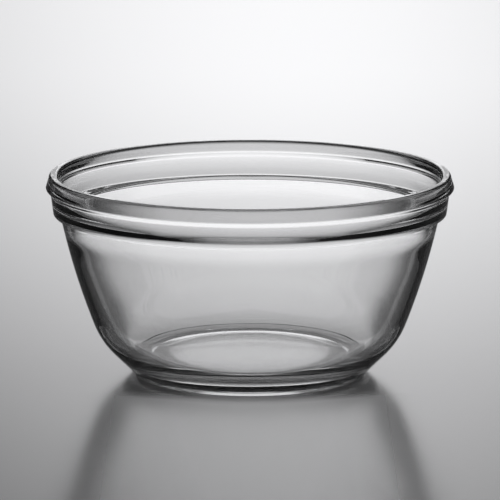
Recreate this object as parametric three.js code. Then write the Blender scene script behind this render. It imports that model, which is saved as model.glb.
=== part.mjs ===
// A clear pressed-glass mixing bowl, one piece of glass turned about its axis: a bead round the mouth, a
// collar that is coved inside, a step in to a bowed wall, a sloping heel over a low ring foot, and a flat
// floor that curves up into the wall. Millimetres, +Z up. The origin is the centre of the circle that the
// foot stands on.

import * as THREE from 'three';

// Overall
const RIM_DIAMETER = 225; // widest, round the bead
const BOWL_HEIGHT = 111.3; // from the foot to the top of the bead
const FOOT_DIAMETER = 129.6; // ring foot, where it joins the heel

// Bead round the mouth
const BEAD_WIDTH = 4.5; // across the top
const BEAD_FACE = 7.3; // height of the outer face
const BEAD_LEAN = 2.2; // how far the outer face leans in at the top
const BEAD_PROUD = 2.6; // how far the bead stands out from the collar
const BEAD_SLOPE = 2.4; // how far the underside slopes down to the collar
const BEAD_ROUNDING = 1.8; // outer top edge
const BEAD_UNDER_ROUNDING = 1.2; // lower edge of the outer face
const MOUTH_ROUNDING = 2.2; // inner top edge
const NECK_ROUNDING = 1.5; // where the underside meets the collar

// Collar between the bead and the step
const COLLAR_HEIGHT = 11.8;
const COLLAR_TAPER = 1.5; // smaller radius at the bottom by this much
const COVE_HEIGHT = 7.9; // the inside turns in this far above the ledge
const COVE_TAPER = 1.5; // the inside is narrower there than at the mouth by this much
const COVE_ROUNDING = 20;

// Step from the collar in to the wall
const STEP_WIDTH = 3.7; // outer ledge
const STEP_FALL = 0.8; // how far the ledge falls towards the wall
const STEP_ROUNDING = 1.1; // both edges of the ledge
const INNER_STEP_HEIGHT = 1.5; // the inner wall starts this far above the ledge
const INNER_STEP_ROUNDING = 4;

// Wall
const WALL_TOP_THICKNESS = 5; // level, under the step
const WALL_KNEE_THICKNESS = 8; // level, at the knee
const WALL_BOW = 1.2; // how far the wall swells past a straight line
const WALL_ROUNDING = 390; // radius of that swell
const WAIST_DROP = 9; // the inside stands nearly upright from the ledge down to this far below it
const WAIST_INSET = 6; // how far the inside is there from the outer wall's top
const WAIST_ROUNDING = 25;
const INNER_WALL_BOW = 0.8; // swell of the inside from there down

// Heel and floor
const HEEL_ANGLE = 45; // degrees between the heel and the surface that the bowl stands on
const HEEL_OVERHANG = 1.6; // how far the heel's lower edge stands out from the foot
const HEEL_ROUNDING = 0.8; // lower edge
const KNEE_HEIGHT = 19.6; // where the heel's slope and the wall would meet
const KNEE_ROUNDING = 44;
const FLOOR_THICKNESS = 5;
const FLOOR_ROUNDING = 37; // inside, between the floor and the wall

// Foot
const FOOT_HEIGHT = 3; // also the depth of the recess inside the ring
const FOOT_WIDTH = 6; // where it joins the heel
const FOOT_DRAFT = 2.4; // how far the outer side slopes in towards the bottom
const FOOT_ROUNDING = 0.6; // all edges of the ring
const RECESS_FLARE = 0.6; // the recess is narrower at its top by this much

// Fineness of the faceted surface
const TURN_SEGMENTS = 64;
const CHORD_ERROR = 0.08;

// A corner of the profile, at a radius and a height, with the radius of the arc that rounds it.
function corner(radius, height, rounding = 0) {
  return { place: new THREE.Vector2(radius, height), rounding };
}

// The point where a bowed line turns: an arc tangent to both its halves swells past the straight line by bow.
function bowCorner(start, end, bow, rounding) {
  const along = end.place.clone().sub(start.place).normalize();
  const outward = new THREE.Vector2(along.y, -along.x);
  const place = start.place.clone().lerp(end.place, 0.5).addScaledVector(outward, 2 * bow);
  return { place, rounding };
}

// Half of the angle between the two sides of a corner.
function halfAngle(before, middle, after) {
  const toBefore = before.place.clone().sub(middle.place);
  const toAfter = after.place.clone().sub(middle.place);
  const cosine = toBefore.dot(toAfter) / (toBefore.length() * toAfter.length());
  return Math.acos(THREE.MathUtils.clamp(cosine, -1, 1)) / 2;
}

// The radius of each corner's arc. Arcs that would meet on a short side shrink together.
function fittedRoundings(corners) {
  const setbacks = corners.map((here, i) => {
    const isEnd = i === 0 || i === corners.length - 1;
    return isEnd ? 0 : here.rounding / Math.tan(halfAngle(corners[i - 1], here, corners[i + 1]));
  });
  const shares = corners.map(() => 1);
  for (let i = 0; i < corners.length - 1; i += 1) {
    const side = corners[i].place.distanceTo(corners[i + 1].place);
    const share = Math.min(1, side / (setbacks[i] + setbacks[i + 1]));
    shares[i] = Math.min(shares[i], share);
    shares[i + 1] = Math.min(shares[i + 1], share);
  }
  return corners.map((here, i) => here.rounding * shares[i]);
}

// Points along the arc that rounds one corner.
function cornerArc(before, middle, after, radius) {
  const half = halfAngle(before, middle, after);
  const toBefore = before.place.clone().sub(middle.place).normalize();
  const toAfter = after.place.clone().sub(middle.place).normalize();
  const inward = toBefore.clone().add(toAfter).normalize();
  const centre = middle.place.clone().addScaledVector(inward, radius / Math.sin(half));
  const first = middle.place.clone().addScaledVector(toBefore, radius / Math.tan(half)).sub(centre);
  const sweep = Math.PI - 2 * half;
  const turnsLeft = toBefore.cross(toAfter) < 0;
  const steps = Math.ceil(sweep / (2 * Math.acos(1 - CHORD_ERROR / radius)));
  return Array.from({ length: steps + 1 }, (_, i) => {
    const angle = (turnsLeft ? sweep : -sweep) * (i / steps);
    return first.clone().rotateAround(new THREE.Vector2(), angle).add(centre);
  });
}

// The whole profile as points, with every corner that has a rounding replaced by its arc.
function roundedProfile(corners) {
  const roundings = fittedRoundings(corners);
  return corners.flatMap((here, i) => {
    const isSharp = roundings[i] === 0;
    return isSharp ? [here.place] : cornerArc(corners[i - 1], here, corners[i + 1], roundings[i]);
  });
}

// Heights of the main levels
const stepHeight = BOWL_HEIGHT - BEAD_FACE - BEAD_SLOPE - COLLAR_HEIGHT;
const floorHeight = FOOT_HEIGHT + FLOOR_THICKNESS;

// Radii from the bead inwards
const rimRadius = RIM_DIAMETER / 2;
const collarTopRadius = rimRadius - BEAD_PROUD;
const collarFootRadius = collarTopRadius - COLLAR_TAPER;
const wallTopRadius = collarFootRadius - STEP_WIDTH;
const footRadius = FOOT_DIAMETER / 2;
const recessRadius = footRadius - FOOT_WIDTH;
const heelRadius = footRadius + HEEL_OVERHANG;
const kneeRadius = heelRadius + (KNEE_HEIGHT - FOOT_HEIGHT) / Math.tan(THREE.MathUtils.degToRad(HEEL_ANGLE));
const mouthRadius = rimRadius - BEAD_LEAN - BEAD_WIDTH;

// Outside, from the axis under the floor out to the foot and up to the bead
const knee = corner(kneeRadius, KNEE_HEIGHT, KNEE_ROUNDING);
const wallTop = corner(wallTopRadius, stepHeight - STEP_FALL, STEP_ROUNDING);
const outside = [
  corner(0, FOOT_HEIGHT),
  corner(recessRadius - RECESS_FLARE, FOOT_HEIGHT, FOOT_ROUNDING),
  corner(recessRadius, 0, FOOT_ROUNDING),
  corner(footRadius - FOOT_DRAFT, 0, FOOT_ROUNDING),
  corner(footRadius, FOOT_HEIGHT, FOOT_ROUNDING),
  corner(heelRadius, FOOT_HEIGHT, HEEL_ROUNDING),
  knee,
  bowCorner(knee, wallTop, WALL_BOW, WALL_ROUNDING),
  wallTop,
  corner(collarFootRadius, stepHeight, STEP_ROUNDING),
  corner(collarTopRadius, stepHeight + COLLAR_HEIGHT, NECK_ROUNDING),
  corner(rimRadius, BOWL_HEIGHT - BEAD_FACE, BEAD_UNDER_ROUNDING),
  corner(rimRadius - BEAD_LEAN, BOWL_HEIGHT, BEAD_ROUNDING),
];

// Inside, from the bead down to the axis on the floor. The wall runs on in a straight line to the floor.
const innerWallTopRadius = wallTopRadius - WALL_TOP_THICKNESS;
const innerWallTop = corner(innerWallTopRadius, stepHeight + INNER_STEP_HEIGHT, INNER_STEP_ROUNDING);
const innerKnee = corner(kneeRadius - WALL_KNEE_THICKNESS, KNEE_HEIGHT);
const waist = corner(wallTopRadius - WAIST_INSET, stepHeight - WAIST_DROP, WAIST_ROUNDING);
const innerBow = bowCorner(innerKnee, waist, INNER_WALL_BOW, WALL_ROUNDING);
const innerKneeSlope = (innerBow.place.x - innerKnee.place.x) / (innerBow.place.y - innerKnee.place.y);
const floorCornerRadius = innerKnee.place.x - innerKneeSlope * (KNEE_HEIGHT - floorHeight);
const inside = [
  corner(mouthRadius, BOWL_HEIGHT, MOUTH_ROUNDING),
  corner(mouthRadius - COVE_TAPER, stepHeight + COVE_HEIGHT, COVE_ROUNDING),
  innerWallTop,
  waist,
  innerBow,
  corner(floorCornerRadius, floorHeight, FLOOR_ROUNDING),
  corner(0, floorHeight),
];

const clearGlass = new THREE.MeshStandardMaterial({
  color: 0xe9eeee,
  roughness: 0.05,
  metalness: 0,
  transparent: true,
  opacity: 0.35,
});

// The profile is turned about Y and then stood up, so that the bowl's axis is Z.
function glassBowl() {
  const profile = roundedProfile([...outside, ...inside]);
  const geometry = new THREE.LatheGeometry(profile, TURN_SEGMENTS);
  geometry.rotateX(Math.PI / 2);
  const mesh = new THREE.Mesh(geometry, clearGlass);
  mesh.name = 'glass_bowl';
  return mesh;
}

const mixingBowl = new THREE.Group();
mixingBowl.add(glassBowl());

export default mixingBowl;
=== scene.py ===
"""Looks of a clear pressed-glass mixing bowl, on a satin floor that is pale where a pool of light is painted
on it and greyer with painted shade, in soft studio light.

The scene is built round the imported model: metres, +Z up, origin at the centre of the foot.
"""

import logging
import math
from dataclasses import dataclass
from enum import Enum

import bmesh
import bpy
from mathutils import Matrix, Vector

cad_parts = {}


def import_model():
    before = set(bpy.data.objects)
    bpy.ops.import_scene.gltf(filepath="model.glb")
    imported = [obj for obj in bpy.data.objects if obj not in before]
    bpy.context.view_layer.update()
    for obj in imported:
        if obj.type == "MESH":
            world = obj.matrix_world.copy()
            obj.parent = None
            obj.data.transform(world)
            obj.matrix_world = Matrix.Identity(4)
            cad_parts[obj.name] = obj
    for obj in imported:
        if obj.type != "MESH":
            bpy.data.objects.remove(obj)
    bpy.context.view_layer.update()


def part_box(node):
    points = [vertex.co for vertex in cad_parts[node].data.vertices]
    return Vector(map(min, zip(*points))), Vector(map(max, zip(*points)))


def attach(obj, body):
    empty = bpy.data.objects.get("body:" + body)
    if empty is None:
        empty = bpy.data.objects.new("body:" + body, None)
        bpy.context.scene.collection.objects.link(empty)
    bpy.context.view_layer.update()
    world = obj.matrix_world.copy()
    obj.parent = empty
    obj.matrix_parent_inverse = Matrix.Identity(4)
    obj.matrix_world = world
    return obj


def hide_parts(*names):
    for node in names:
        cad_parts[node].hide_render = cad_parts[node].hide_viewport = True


LOG = logging.getLogger("mixing_bowl")
MM = 0.001
Colour = tuple[float, float, float]
Socket = bpy.types.NodeSocket
Value = Socket | float | tuple[float, ...]


class Node(Enum):
    """Shader node types that the finishes and the light use."""

    COORDINATES = "ShaderNodeTexCoord"
    NOISE = "ShaderNodeTexNoise"
    BUMP = "ShaderNodeBump"
    MAP_RANGE = "ShaderNodeMapRange"
    MATH = "ShaderNodeMath"
    SEPARATE = "ShaderNodeSeparateXYZ"
    PRINCIPLED = "ShaderNodeBsdfPrincipled"
    DIFFUSE = "ShaderNodeBsdfDiffuse"
    GLOSSY = "ShaderNodeBsdfAnisotropic"
    ABSORPTION = "ShaderNodeVolumeAbsorption"
    LIGHT_PATH = "ShaderNodeLightPath"
    BACKGROUND = "ShaderNodeBackground"
    MIX = "ShaderNodeMixShader"
    MATERIAL_OUTPUT = "ShaderNodeOutputMaterial"
    WORLD_OUTPUT = "ShaderNodeOutputWorld"


class NodeTree:
    """A shader node tree that is filled from empty."""

    def __init__(self, owner: bpy.types.Material | bpy.types.World) -> None:
        """Clears the owner's nodes.

        Args:
            owner: The material or world whose nodes are made.
        """
        owner.use_nodes = True
        self.tree = owner.node_tree
        self.tree.nodes.clear()

    def add(self, kind: Node, **inputs: Value) -> bpy.types.Node:
        """Adds a node and fills its inputs.

        Args:
            kind: The type of node.
            inputs: Input names, with _ for a space, and each one's constant or the socket that feeds it.

        Returns:
            The new node.
        """
        node = self.tree.nodes.new(kind.value)
        for name, value in inputs.items():
            self.feed(node.inputs[name.replace("_", " ")], value)
        return node

    def feed(self, socket: Socket, value: Value) -> None:
        """Links a socket to another one, or sets its constant.

        Args:
            socket: The input to fill.
            value: An output socket, or a constant.
        """
        if isinstance(value, Socket):
            self.tree.links.new(value, socket)
        else:
            socket.default_value = value

    def math(self, operation: str, first: Value, second: Value = 0.0) -> Socket:
        """Adds a Math node.

        Args:
            operation: Blender's name of the operation.
            first: First input.
            second: Second input.

        Returns:
            The node's output.
        """
        node = self.add(Node.MATH)
        node.operation = operation
        self.feed(node.inputs[0], first)
        self.feed(node.inputs[1], second)
        return node.outputs[0]

    def ramp(self, value: Value, start: float, end: float, first: float, last: float) -> Socket:
        """Adds a smooth step between two levels.

        Args:
            value: What the step depends on.
            start: Value where the step starts.
            end: Value where it ends.
            first: Level before the start.
            last: Level past the end.

        Returns:
            The level.
        """
        node = self.add(Node.MAP_RANGE, Value=value, From_Min=start, From_Max=end, To_Min=first, To_Max=last)
        node.interpolation_type = "SMOOTHSTEP"
        return node.outputs["Result"]

    def mix(self, share: Value, first: Socket, second: Socket) -> Socket:
        """Adds a Mix Shader node.

        Args:
            share: The second shader's share.
            first: First shader.
            second: Second shader.

        Returns:
            The mixed shader.
        """
        node = self.add(Node.MIX)
        self.feed(node.inputs[0], share)
        self.feed(node.inputs[1], first)
        self.feed(node.inputs[2], second)
        return node.outputs["Shader"]


@dataclass(frozen=True)
class GlassFinish:
    """Clear pressed glass: smooth, faintly grey in depth, with the slow ripple that a mould leaves."""

    name: str = "clear_glass"
    tint: Colour = (1.0, 1.0, 1.0)
    roughness: float = 0.0
    ior: float = 1.52
    depth_colour: Colour = (0.30, 0.33, 0.36)
    depth_density: float = 2.0
    ripple_scale: float = 28.0
    ripple_height: float = 0.05 * MM

    def material(self) -> bpy.types.Material:
        """Makes the material.

        Returns:
            The glass, with its ripple on Object coordinates.
        """
        material = bpy.data.materials.new(self.name)
        nodes = NodeTree(material)
        place = nodes.add(Node.COORDINATES).outputs["Object"]
        ripple = nodes.add(Node.NOISE, Vector=place, Scale=self.ripple_scale, Detail=1.0)
        bump = nodes.add(Node.BUMP, Height=ripple.outputs["Fac"], Distance=self.ripple_height, Strength=1.0)
        surface = nodes.add(
            Node.PRINCIPLED,
            Base_Color=(*self.tint, 1.0),
            Roughness=self.roughness,
            IOR=self.ior,
            Transmission_Weight=1.0,
            Normal=bump.outputs["Normal"],
        )
        depth = nodes.add(Node.ABSORPTION, Color=(*self.depth_colour, 1.0), Density=self.depth_density)
        nodes.add(Node.MATERIAL_OUTPUT, Surface=surface.outputs["BSDF"], Volume=depth.outputs["Volume"])
        return material


@dataclass(frozen=True)
class FloorFinish:
    """Satin sheet whose grey is painted light: a painted pool of light in a lane that widens to the back,
    with painted shade beside it and in front. Metres.
    """

    # The sheet's grey is painted light and shade, not the sheet's own colour.
    name: str = "sheet_with_painted_light"
    roughness: float = 0.18

    # Share of reflection, and the duller lane in front of the bowl
    shine: float = 0.9
    front_shine: float = 0.2
    front_start: float = -0.05  # y where the lane starts
    front_end: float = -0.085  # y from which it is as dull as it gets
    lane_half: float = 0.01  # x up to which it is so
    lane_edge: float = 0.1  # x past which the lane has gone

    # Painted light from front to back: a painted pool of light behind the bowl, fading to painted shade in
    # front
    palest: float = 0.95
    greyest: float = 0.07
    pale_line: float = 1.15  # y of the palest grey
    grey_line: float = -1.2  # y where the greyest would be, past the turn
    turn_line: float = -0.3  # y in front of which the sheet gets paler again
    turn_rate: float = 3.0  # how much faster it does so there

    # Painted shade from side to side, beside the painted pool of light
    middle: float = 0.045  # x of the middle of the lane of painted light
    side_reach: float = 0.33  # from the middle to the greyest place beside it, at the turn line
    side_spread: float = 0.29  # how much farther that is for each metre behind the line
    side_level: float = 0.3  # how grey the painted shade is there, as a share of the middle

    def painted_light(self, nodes: NodeTree, x: Socket, y: Socket) -> Socket:
        """Adds the sheet's grey, which is painted light: a painted pool of light behind the bowl, with
        painted shade beside it and in front.

        Args:
            nodes: The material's nodes.
            x: Place across the sheet.
            y: Place along it.

        Returns:
            The painted grey at that place.
        """
        ahead = nodes.math("SUBTRACT", y, self.turn_line)
        back = nodes.math("MAXIMUM", ahead, nodes.math("MULTIPLY", ahead, -self.turn_rate))
        start = self.grey_line - self.turn_line
        end = self.pale_line - self.turn_line
        # Painted pool of light behind the bowl, fading to painted shade in front of it
        along = nodes.ramp(back, start, end, self.greyest, self.palest)
        # Painted shade beside the lane of painted light, reaching farther behind the turn line
        reach = nodes.math("ADD", nodes.math("MULTIPLY", back, self.side_spread), self.side_reach)
        off_middle = nodes.math("ABSOLUTE", nodes.math("SUBTRACT", x, self.middle))
        aside = nodes.math("DIVIDE", off_middle, reach)
        past = nodes.math("ABSOLUTE", nodes.math("SUBTRACT", aside, 1.0))
        across = nodes.ramp(past, 0.0, 1.0, self.side_level, 1.0)
        return nodes.math("MULTIPLY", along, across)

    def reflection(self, nodes: NodeTree, x: Socket, y: Socket) -> Socket:
        """Adds the share of reflection.

        Args:
            nodes: The material's nodes.
            x: Place across the sheet.
            y: Place along it.

        Returns:
            The share at that place.
        """
        along = nodes.ramp(y, self.front_end, self.front_start, self.front_shine, self.shine)
        off_lane = nodes.math("ABSOLUTE", x)
        across = nodes.ramp(off_lane, self.lane_half, self.lane_edge, self.front_shine, self.shine)
        return nodes.math("MAXIMUM", along, across)

    def material(self) -> bpy.types.Material:
        """Makes the material.

        Returns:
            The floor's material, with its painted light and shade on Object coordinates.
        """
        material = bpy.data.materials.new(self.name)
        nodes = NodeTree(material)
        place = nodes.add(Node.COORDINATES).outputs["Object"]
        x, y, _ = nodes.add(Node.SEPARATE, Vector=place).outputs
        # Painted light and shade in the sheet's grey, for both its matt and its satin parts
        painted_light = self.painted_light(nodes, x, y)
        matt = nodes.add(Node.DIFFUSE, Color=painted_light)
        satin = nodes.add(Node.GLOSSY, Color=painted_light, Roughness=self.roughness)
        share = self.reflection(nodes, x, y)
        sheet = nodes.mix(share, matt.outputs["BSDF"], satin.outputs["BSDF"])
        nodes.add(Node.MATERIAL_OUTPUT, Surface=sheet)
        return material


def stand(name: str, mesh: bmesh.types.BMesh) -> bpy.types.Object:
    """Makes an object of a finished mesh, which is freed.

    Args:
        name: The object's name.
        mesh: Its mesh.

    Returns:
        The object, in the scene, with no material yet.
    """
    data = bpy.data.meshes.new(name)
    mesh.to_mesh(data)
    mesh.free()
    made = bpy.data.objects.new(name, data)
    bpy.context.scene.collection.objects.link(made)
    return made


@dataclass(frozen=True)
class Corner:
    """A corner of the bowl's profile, with the radius of the arc that rounds it."""

    radius: float
    height: float
    rounding: float = 0.0
    bowed: bool = False  # whether the arc is the long swell of a wall

    def place(self) -> Vector:
        """The corner as a point of the XZ plane."""
        return Vector((self.radius, 0.0, self.height))


class ProfilePen:
    """Draws a wire profile in the XZ plane by extruding and spinning one vertex."""

    def __init__(self, mesh: bmesh.types.BMesh, start: Corner, run_step: float, arc_step: float) -> None:
        """Puts the first vertex down.

        Args:
            mesh: The mesh that gets the wire.
            start: The wire's first point.
            run_step: Longest edge on a straight run, in metres.
            arc_step: Widest angle of an edge on an arc, in radians.
        """
        self.mesh = mesh
        self.tip = mesh.verts.new(start.place())
        self.run_step = run_step
        self.arc_step = arc_step

    def line_to(self, end: Vector) -> None:
        """Extrudes the tip along a straight run.

        Args:
            end: Where the run ends.
        """
        run = end - self.tip.co
        steps = max(1, math.ceil(run.length / self.run_step))
        for _ in range(steps):
            made = bmesh.ops.extrude_vert_indiv(self.mesh, verts=[self.tip])
            self.tip = made["verts"][0]
            bmesh.ops.translate(self.mesh, verts=[self.tip], vec=run / steps)

    def arc(self, centre: Vector, angle: float) -> None:
        """Spins the tip along an arc.

        Args:
            centre: The arc's centre.
            angle: How far it turns about +Y, in radians.
        """
        made = bmesh.ops.spin(
            self.mesh,
            geom=[self.tip],
            cent=centre,
            axis=Vector((0.0, 1.0, 0.0)),
            angle=angle,
            steps=max(2, math.ceil(abs(angle) / self.arc_step)),
        )
        self.tip = next(part for part in made["geom_last"] if isinstance(part, bmesh.types.BMVert))

    def round(self, before: Corner, corner: Corner, after: Corner) -> None:
        """Runs up to a corner and round it.

        Args:
            before: The corner before it.
            corner: The corner to round.
            after: The corner after it.
        """
        back = (before.place() - corner.place()).normalized()
        ahead = (after.place() - corner.place()).normalized()
        half = back.angle(ahead) / 2
        centre = corner.place() + (back + ahead).normalized() * (corner.rounding / math.sin(half))
        turn = math.copysign(math.pi - 2 * half, ahead.cross(back).y)
        self.line_to(corner.place() + back * (corner.rounding / math.tan(half)))
        self.arc(centre, turn)


@dataclass
class MixingBowl:
    """The bowl: one piece of glass, turned from a profile. Sizes in metres, angles in degrees."""

    # Overall
    rim_radius: float
    height: float
    foot_radius: float = 64.8 * MM  # where the foot joins the heel

    # Bead round the mouth
    bead_width: float = 4.5 * MM
    bead_face: float = 7.3 * MM  # height of the outer face
    bead_lean: float = 2.2 * MM  # how far that face leans in at the top
    bead_proud: float = 2.6 * MM  # how far the bead stands out from the collar
    bead_slope: float = 2.4 * MM  # how far the underside slopes down to the collar
    bead_rounding: float = 1.8 * MM
    bead_under_rounding: float = 1.2 * MM
    mouth_rounding: float = 2.2 * MM
    neck_rounding: float = 1.5 * MM  # where the underside meets the collar

    # Collar, coved inside
    collar_height: float = 11.8 * MM
    collar_taper: float = 1.5 * MM
    cove_height: float = 7.9 * MM  # the inside turns in this far above the ledge
    cove_taper: float = 1.5 * MM
    cove_rounding: float = 20.0 * MM

    # Step from the collar in to the wall
    step_width: float = 3.7 * MM
    step_fall: float = 0.8 * MM  # how far the ledge falls towards the wall
    step_rounding: float = 1.1 * MM
    inner_step_height: float = 1.5 * MM  # the inner wall starts this far above the ledge
    inner_step_rounding: float = 4.0 * MM

    # Wall
    wall_top_thickness: float = 5.0 * MM
    wall_knee_thickness: float = 8.0 * MM
    wall_bow: float = 1.2 * MM  # how far the outside swells past a straight line
    inner_bow: float = 0.8 * MM  # the same for the inside, below the waist
    wall_rounding: float = 390.0 * MM  # radius of both swells
    waist_drop: float = 9.0 * MM  # the inside stands nearly upright down to this far below the ledge
    waist_inset: float = 6.0 * MM  # how far it is there from the outer wall's top
    waist_rounding: float = 25.0 * MM

    # Heel and floor
    heel_angle: float = 45.0
    heel_overhang: float = 1.6 * MM  # how far the heel's lower edge stands out from the foot
    heel_rounding: float = 0.8 * MM
    knee_height: float = 19.6 * MM  # where the heel's slope and the wall would meet
    knee_rounding: float = 44.0 * MM
    floor_thickness: float = 5.0 * MM
    floor_rounding: float = 37.0 * MM

    # Foot
    foot_height: float = 3.0 * MM
    foot_width: float = 6.0 * MM
    foot_draft: float = 2.4 * MM  # how far the outer side slopes in towards the bottom
    foot_rounding: float = 0.6 * MM
    recess_flare: float = 0.6 * MM  # the recess is narrower at its top by this much

    # Fineness of the mesh, with its angles in radians
    run_step: float = 2.5 * MM
    arc_step: float = math.radians(6.0)
    bow_step: float = math.radians(0.4)
    turn_steps: int = 240
    merge_gap: float = 0.0005 * MM

    @staticmethod
    def bow(start: Corner, end: Corner, swell: float, rounding: float) -> Corner:
        """The corner where a bowed run turns.

        Args:
            start: Lower end of the run.
            end: Upper end of the run.
            swell: How far the run's arc stands out from the straight line.
            rounding: Radius of that arc.

        Returns:
            The corner between the two halves of the run.
        """
        along = (end.place() - start.place()).normalized()
        outward = Vector((along.z, 0.0, -along.x))
        place = (start.place() + end.place()) / 2 + outward * (2 * swell)
        return Corner(place.x, place.z, rounding, bowed=True)

    def step_level(self) -> float:
        """Height of the ledge under the collar."""
        return self.height - self.bead_face - self.bead_slope - self.collar_height

    def knee_radius(self) -> float:
        """Radius at which the heel's slope meets the line of the wall."""
        rise = self.knee_height - self.foot_height
        return self.foot_radius + self.heel_overhang + rise / math.tan(math.radians(self.heel_angle))

    def wall_top_radius(self) -> float:
        """Outer radius of the wall just under the ledge."""
        return self.rim_radius - self.bead_proud - self.collar_taper - self.step_width

    def outside(self) -> list[Corner]:
        """Corners of the outside.

        Returns:
            The corners from the axis under the floor up to the top of the bead.
        """
        collar_top = self.rim_radius - self.bead_proud
        collar_foot = collar_top - self.collar_taper
        recess = self.foot_radius - self.foot_width
        step = self.step_level()
        knee = Corner(self.knee_radius(), self.knee_height, self.knee_rounding)
        wall_top = Corner(self.wall_top_radius(), step - self.step_fall, self.step_rounding)
        return [
            Corner(0.0, self.foot_height),
            Corner(recess - self.recess_flare, self.foot_height, self.foot_rounding),
            Corner(recess, 0.0, self.foot_rounding),
            Corner(self.foot_radius - self.foot_draft, 0.0, self.foot_rounding),
            Corner(self.foot_radius, self.foot_height, self.foot_rounding),
            Corner(self.foot_radius + self.heel_overhang, self.foot_height, self.heel_rounding),
            knee,
            self.bow(knee, wall_top, self.wall_bow, self.wall_rounding),
            wall_top,
            Corner(collar_foot, step, self.step_rounding),
            Corner(collar_top, step + self.collar_height, self.neck_rounding),
            Corner(self.rim_radius, self.height - self.bead_face, self.bead_under_rounding),
            Corner(self.rim_radius - self.bead_lean, self.height, self.bead_rounding),
        ]

    def inside(self) -> list[Corner]:
        """Corners of the inside, whose wall runs on in a straight line to the floor.

        Returns:
            The corners from the top of the bead down to the axis on the floor.
        """
        step = self.step_level()
        floor = self.foot_height + self.floor_thickness
        mouth = self.rim_radius - self.bead_lean - self.bead_width
        wall_radius = self.wall_top_radius() - self.wall_top_thickness
        waist_radius = self.wall_top_radius() - self.waist_inset
        knee = Corner(self.knee_radius() - self.wall_knee_thickness, self.knee_height)
        waist = Corner(waist_radius, step - self.waist_drop, self.waist_rounding)
        bow = self.bow(knee, waist, self.inner_bow, self.wall_rounding)
        slope = (bow.radius - knee.radius) / (bow.height - knee.height)
        return [
            Corner(mouth, self.height, self.mouth_rounding),
            Corner(mouth - self.cove_taper, step + self.cove_height, self.cove_rounding),
            Corner(wall_radius, step + self.inner_step_height, self.inner_step_rounding),
            waist,
            bow,
            Corner(knee.radius - slope * (knee.height - floor), floor, self.floor_rounding),
            Corner(0.0, floor),
        ]

    def build(self) -> bpy.types.Object:
        """Draws the profile and turns it about the axis.

        Returns:
            The bowl, in the scene, with no material yet.
        """
        corners = self.outside() + self.inside()
        mesh = bmesh.new()
        pen = ProfilePen(mesh, corners[0], self.run_step, self.arc_step)
        for before, corner, after in zip(corners, corners[1:], corners[2:]):
            pen.arc_step = self.bow_step if corner.bowed else self.arc_step
            pen.round(before, corner, after)
        pen.line_to(corners[-1].place())
        bmesh.ops.spin(
            mesh,
            geom=mesh.verts[:] + mesh.edges[:],
            cent=Vector(),
            axis=Vector((0.0, 0.0, 1.0)),
            angle=math.tau,
            steps=self.turn_steps,
            use_merge=True,
        )
        bmesh.ops.remove_doubles(mesh, verts=mesh.verts[:], dist=self.merge_gap)
        bmesh.ops.recalc_face_normals(mesh, faces=mesh.faces[:])
        for face in mesh.faces:
            face.smooth = True
        return stand("pressed_glass_bowl", mesh)

    def dress(self, bowl: bpy.types.Object, finish: GlassFinish) -> None:
        """Gives the bowl its glass, and puts it in the place of the solid.

        Args:
            bowl: The built bowl.
            finish: The glass.
        """
        bowl.data.materials.append(finish.material())
        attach(bowl, "root")
        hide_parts("glass_bowl")


@dataclass(frozen=True)
class LightPatch:
    """Light from part of the world, which fades from its full angles to its end angles.

    A turn is measured from +Y to either side and a rise from the horizon, both in degrees.
    """

    level: float
    turn_full: float
    turn_end: float
    rise_full: float
    rise_end: float

    @staticmethod
    def fade(nodes: NodeTree, angle: Socket, full: float, end: float, level: float) -> Socket:
        """Adds a level that fades out with an angle.

        Args:
            nodes: The world's nodes.
            angle: The angle, in radians.
            full: Where the level is full, in degrees.
            end: Where it has gone, in degrees.
            level: The full level.

        Returns:
            The level at that angle.
        """
        if full < end:
            return nodes.ramp(angle, math.radians(full), math.radians(end), level, 0.0)
        return nodes.ramp(angle, math.radians(end), math.radians(full), 0.0, level)

    def strength(self, nodes: NodeTree, turn: Socket, rise: Socket) -> Socket:
        """Adds the patch's nodes.

        Args:
            nodes: The world's nodes.
            turn: A direction's turn, in radians.
            rise: Its rise, in radians.

        Returns:
            The patch's strength in that direction.
        """
        across = self.fade(nodes, turn, self.turn_full, self.turn_end, self.level)
        upward = self.fade(nodes, rise, self.rise_full, self.rise_end, 1.0)
        return nodes.math("MULTIPLY", across, upward)


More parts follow.
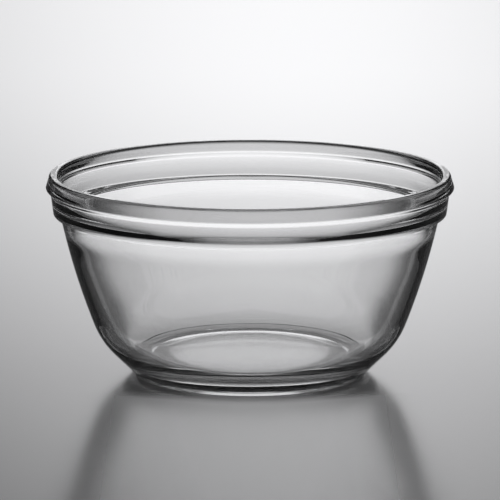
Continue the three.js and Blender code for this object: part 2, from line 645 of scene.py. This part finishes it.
@dataclass
class Studio:
    """The floor, the light and the camera. Metres and degrees."""

    floor_half: float = 40.0

    # Camera, with its sensor in millimetres
    camera_distance: float = 2.3
    camera_height: float = 0.5216
    camera_pitch: float = 11.153
    camera_reach: float = 160.0  # how far it sees
    focal_pixels: float = 4254.0
    picture_pixels: float = 500.0
    sensor: float = 36.0

    # Light: one plain level for matt surfaces, and patches for what is seen
    light_colour: Colour = (0.985, 0.985, 1.0)
    ambient: float = 1.0
    panel: LightPatch = LightPatch(1.0, turn_full=6.0, turn_end=12.0, rise_full=12.0, rise_end=60.0)
    surround: LightPatch = LightPatch(0.75, turn_full=110.0, turn_end=80.0, rise_full=35.0, rise_end=65.0)
    corners: LightPatch = LightPatch(0.5, turn_full=48.0, turn_end=38.0, rise_full=24.0, rise_end=14.0)
    dark_level: float = 0.04  # everywhere, under the patches
    bounce_limit: float = 0.5  # a ray with fewer matt bounces than this sees the patches

    def floor(self, finish: FloorFinish) -> None:
        """Lays the floor.

        Args:
            finish: Its material.
        """
        mesh = bmesh.new()
        bmesh.ops.create_grid(mesh, x_segments=1, y_segments=1, size=self.floor_half)
        floor = stand("floor", mesh)
        floor.data.materials.append(finish.material())

    def seen(self, nodes: NodeTree) -> Socket:
        """Adds the light that is seen directly, in reflection or through the glass.

        Args:
            nodes: The world's nodes.

        Returns:
            The strength in each direction.
        """
        place = nodes.add(Node.COORDINATES).outputs["Generated"]
        x, y, z = nodes.add(Node.SEPARATE, Vector=place).outputs
        rise = nodes.math("ARCSINE", z)
        turn = nodes.math("ABSOLUTE", nodes.math("ARCTAN2", x, y))
        panel = self.panel.strength(nodes, turn, rise)
        surround = self.surround.strength(nodes, turn, rise)
        corners = self.corners.strength(nodes, turn, rise)
        sides = nodes.math("MAXIMUM", surround, corners)
        return nodes.math("ADD", nodes.math("ADD", panel, sides), self.dark_level)

    def looking(self, nodes: NodeTree) -> Socket:
        """Adds the test for a ray that sees the patches.

        Args:
            nodes: The world's nodes.

        Returns:
            1 for a camera, mirror or glass ray with no matt bounce before it, or else 0.
        """
        path = nodes.add(Node.LIGHT_PATH).outputs
        clear = nodes.math("ADD", path["Is Camera Ray"], path["Is Glossy Ray"])
        clear = nodes.math("ADD", clear, path["Is Transmission Ray"])
        undiffused = nodes.math("LESS_THAN", path["Diffuse Depth"], self.bounce_limit)
        return nodes.math("MULTIPLY", clear, undiffused)

    def light(self) -> None:
        """Sets the world: patches of light for what is seen, and a plain level for what is lit."""
        world = bpy.data.worlds.new("studio")
        bpy.context.scene.world = world
        nodes = NodeTree(world)
        colour = (*self.light_colour, 1.0)
        seen = nodes.add(Node.BACKGROUND, Color=colour, Strength=self.seen(nodes))
        lit = nodes.add(Node.BACKGROUND, Color=colour, Strength=self.ambient)
        surface = nodes.mix(self.looking(nodes), lit.outputs["Background"], seen.outputs["Background"])
        nodes.add(Node.WORLD_OUTPUT, Surface=surface)

    def camera(self) -> None:
        """Stands the camera where the photograph was taken from."""
        data = bpy.data.cameras.new("camera")
        data.sensor_width = self.sensor
        data.lens = self.sensor * self.focal_pixels / self.picture_pixels
        data.clip_end = self.camera_reach
        camera = bpy.data.objects.new("camera", data)
        camera.location = (0.0, -self.camera_distance, self.camera_height)
        camera.rotation_euler = (math.radians(90.0 - self.camera_pitch), 0.0, 0.0)
        bpy.context.scene.collection.objects.link(camera)
        bpy.context.scene.camera = camera


def main() -> None:
    """Builds the bowl and its studio in order."""
    logging.basicConfig(level=logging.INFO, format="%(name)s: %(message)s")
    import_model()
    bpy.context.scene.view_settings.view_transform = "Standard"

    studio = Studio()
    studio.camera()
    studio.floor(FloorFinish())
    studio.light()
    LOG.info("studio ready")

    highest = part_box("glass_bowl")[1]
    bowl = MixingBowl(rim_radius=highest[0], height=highest[2])
    piece = bowl.build()
    bowl.dress(piece, GlassFinish())
    LOG.info("%s: %d faces", piece.name, len(piece.data.polygons))


if __name__ == "__main__":
    main()
